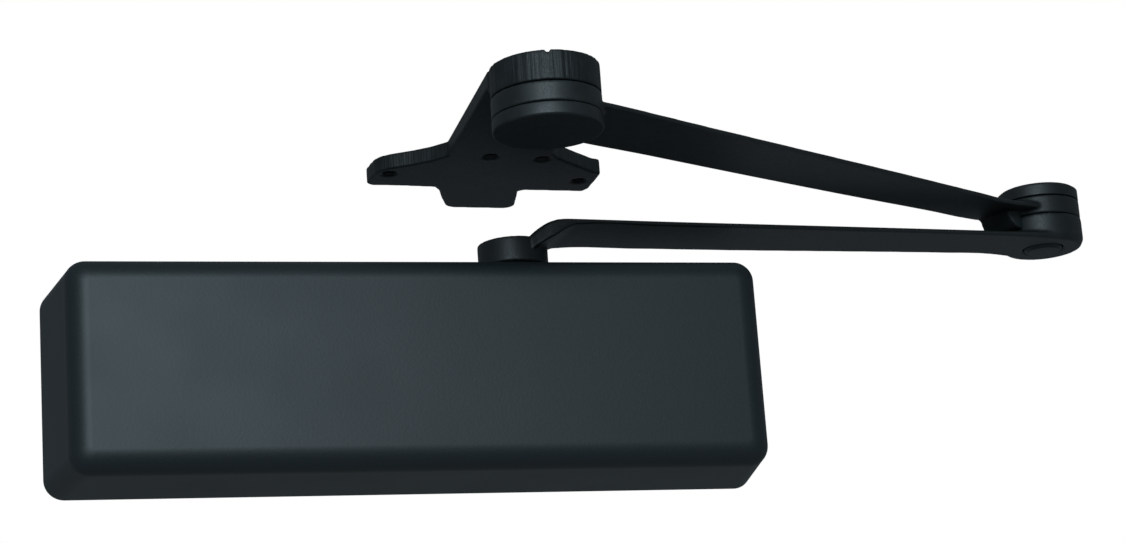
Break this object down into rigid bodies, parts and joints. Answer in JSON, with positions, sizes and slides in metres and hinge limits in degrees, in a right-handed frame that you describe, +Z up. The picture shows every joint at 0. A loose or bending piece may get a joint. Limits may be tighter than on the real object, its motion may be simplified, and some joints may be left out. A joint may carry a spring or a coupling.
{
  "type": "door closer",
  "caption": "Surface door closer: a boxy satin black cover over a hydraulic rack-and-pinion body, with a folding forged arm that ends in a soffit shoe.",
  "frame": {"origin": "centre of the closer's flat back, the face that is screwed to the door, half way along and half way up its cover", "axes": "+X along the closer towards the elbow, +Y into the door, +Z up along the pinion"},
  "size_m": [0.4785, 0.1864, 0.1418],
  "materials": {
    "cover_paint": "satin powder coat, near black with a cool tint",
    "arm_paint": "satin black paint over forged steel",
    "cast_iron": "as cast, lightly oiled",
    "hard_steel": "ground",
    "zinc_steel": "zinc plated",
    "brass": "turned",
    "bronze": "sintered bronze",
    "seal_rubber": "matte"
  },
  "bodies": {
    "closer": {"closer_body": "cast_iron", "cover": "cover_paint", "cover_screw_left": "zinc_steel", "cover_screw_right": "zinc_steel", "head_end_cap": "zinc_steel", "head_cap_seal": "seal_rubber", "spring_end_plug": "zinc_steel", "spring_plug_seal": "seal_rubber", "adjuster_seal": "seal_rubber", "fill_plug": "zinc_steel", "upper_needle_bearing": "hard_steel", "lower_needle_bearing": "hard_steel", "upper_pinion_seal": "seal_rubber", "lower_pinion_seal": "seal_rubber", "upper_gland_nut": "zinc_steel", "lower_gland_nut": "zinc_steel", "power_spring": "hard_steel"},
    "pinion": {"pinion_shaft": "hard_steel", "main_arm": "arm_paint", "arm_washer": "zinc_steel", "arm_screw": "zinc_steel", "elbow_pin": "arm_paint"},
    "forearm": {"forearm": "arm_paint", "elbow_bushing": "bronze", "shoe_bushing": "bronze"},
    "shoe": {"soffit_bracket": "arm_paint", "shoe_pin": "arm_paint"},
    "piston": {"piston": "hard_steel", "check_ball": "hard_steel", "check_ball_retainer": "zinc_steel"},
    "sweep_valve": {"sweep_valve": "brass", "sweep_valve_seal": "seal_rubber"},
    "latch_valve": {"latch_valve": "brass", "latch_valve_seal": "seal_rubber"},
    "backcheck_valve": {"backcheck_valve": "brass", "backcheck_valve_seal": "seal_rubber"},
    "power_adjuster": {"adjusting_screw": "zinc_steel"},
    "spring_seat": {"spring_seat_nut": "zinc_steel"}
  },
  "joints": [
    {"name": "pinion_turn", "type": "hinge", "parent": "closer", "child": "pinion", "pos_m": [0.0467, -0.027, 0], "axis": [0, 0, 1], "range_deg": [-150, 0], "stiffness_Nm_per_rad": 3.1, "springref_deg": 159.28},
    {"name": "elbow_turn", "type": "hinge", "parent": "pinion", "child": "forearm", "pos_m": [0.3042, -0.009, 0.07], "axis": [0, 0, 1], "range_deg": [-20, 140]},
    {"name": "shoe_turn", "type": "hinge", "parent": "forearm", "child": "shoe", "pos_m": [0.035, -0.1474, 0.083], "axis": [0, 0, 1], "range_deg": [-130, 30]},
    {"name": "piston_slide", "type": "slide", "parent": "closer", "child": "piston", "axis": [1, 0, 0], "range_m": [-0.024, 0], "deforming": ["power_spring"]},
    {"name": "sweep_valve_turn", "type": "hinge", "parent": "closer", "child": "sweep_valve", "pos_m": [0.122, -0.034, 0.0275], "axis": [1, 0, 0], "range_deg": [-360, 720]},
    {"name": "latch_valve_turn", "type": "hinge", "parent": "closer", "child": "latch_valve", "pos_m": [0.122, -0.02, 0.0275], "axis": [1, 0, 0], "range_deg": [-360, 720]},
    {"name": "backcheck_valve_turn", "type": "hinge", "parent": "closer", "child": "backcheck_valve", "pos_m": [0.122, -0.027, -0.0275], "axis": [1, 0, 0], "range_deg": [-360, 720]},
    {"name": "adjuster_turn", "type": "hinge", "parent": "closer", "child": "power_adjuster", "pos_m": [-0.1466, -0.027, 0], "axis": [1, 0, 0], "range_deg": [-2184, 2184]},
    {"name": "spring_seat_slide", "type": "slide", "parent": "closer", "child": "spring_seat", "axis": [1, 0, 0], "range_m": [-0.009, 0.009], "deforming": ["power_spring"]}
  ],
  "couplings": [
    {"joint": "piston_slide", "follows": "pinion_turn", "m_per_rad": 0.009},
    {"joint": "adjuster_turn", "follows": "spring_seat_slide", "rad_per_m": 4188.8}
  ]
}
